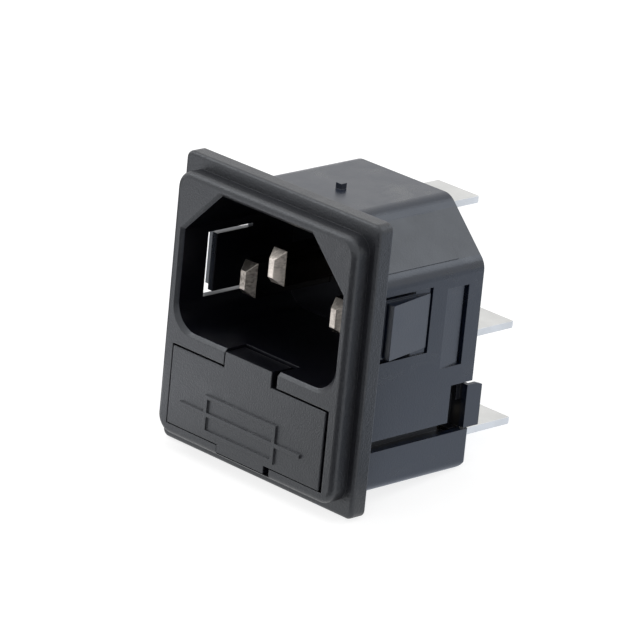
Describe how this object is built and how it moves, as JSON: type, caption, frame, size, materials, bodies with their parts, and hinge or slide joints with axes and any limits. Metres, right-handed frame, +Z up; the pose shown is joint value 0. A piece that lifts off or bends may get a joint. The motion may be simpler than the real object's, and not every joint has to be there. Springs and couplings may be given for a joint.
{
  "type": "appliance inlet socket with fuse drawer",
  "caption": "Black snap-in panel power inlet with a stepped flange, a six-sided connector cavity with blade pins, a pull-out fuse drawer below it and flat tabs behind.",
  "frame": {"origin": "centre of the flange's rear face, the plane that seats on the front of the panel", "axes": "+X to the right seen from the front, +Y through the panel to the rear, along the way the part is pushed in, +Z up"},
  "size_m": [0.0298, 0.03, 0.033],
  "materials": {
    "housing_plastic": "satin, finely textured on the flange",
    "drawer_plastic": "fine texture",
    "carrier_plastic": "satin",
    "nickel_plate": "nickel-plated brass, satin",
    "tin_plate": "bright tin plate",
    "spring_bronze": "tinned spring bronze",
    "rivet_brass": "bright",
    "fuse_cap_metal": "nickel-plated",
    "fuse_glass": "clear",
    "fuse_wire": "plain"
  },
  "bodies": {
    "inlet": {"housing": "housing_plastic", "rear_carrier": "carrier_plastic", "line_pin": "nickel_plate", "neutral_pin": "nickel_plate", "earth_pin": "nickel_plate", "earth_terminal": "tin_plate", "neutral_terminal": "tin_plate", "load_terminal": "tin_plate", "line_link": "tin_plate", "load_contact_spring": "spring_bronze", "line_contact_spring": "spring_bronze", "load_contact_rivet": "rivet_brass", "line_contact_rivet": "rivet_brass"},
    "drawer": {"fuse_drawer": "drawer_plastic", "fuse_cap_right": "fuse_cap_metal", "fuse_cap_left": "fuse_cap_metal", "fuse_glass": "fuse_glass", "fuse_wire": "fuse_wire"}
  },
  "joints": [
    {"name": "drawer_slide", "type": "slide", "parent": "inlet", "child": "drawer", "axis": [0, -1, 0], "range_m": [0, 0.015]}
  ]
}
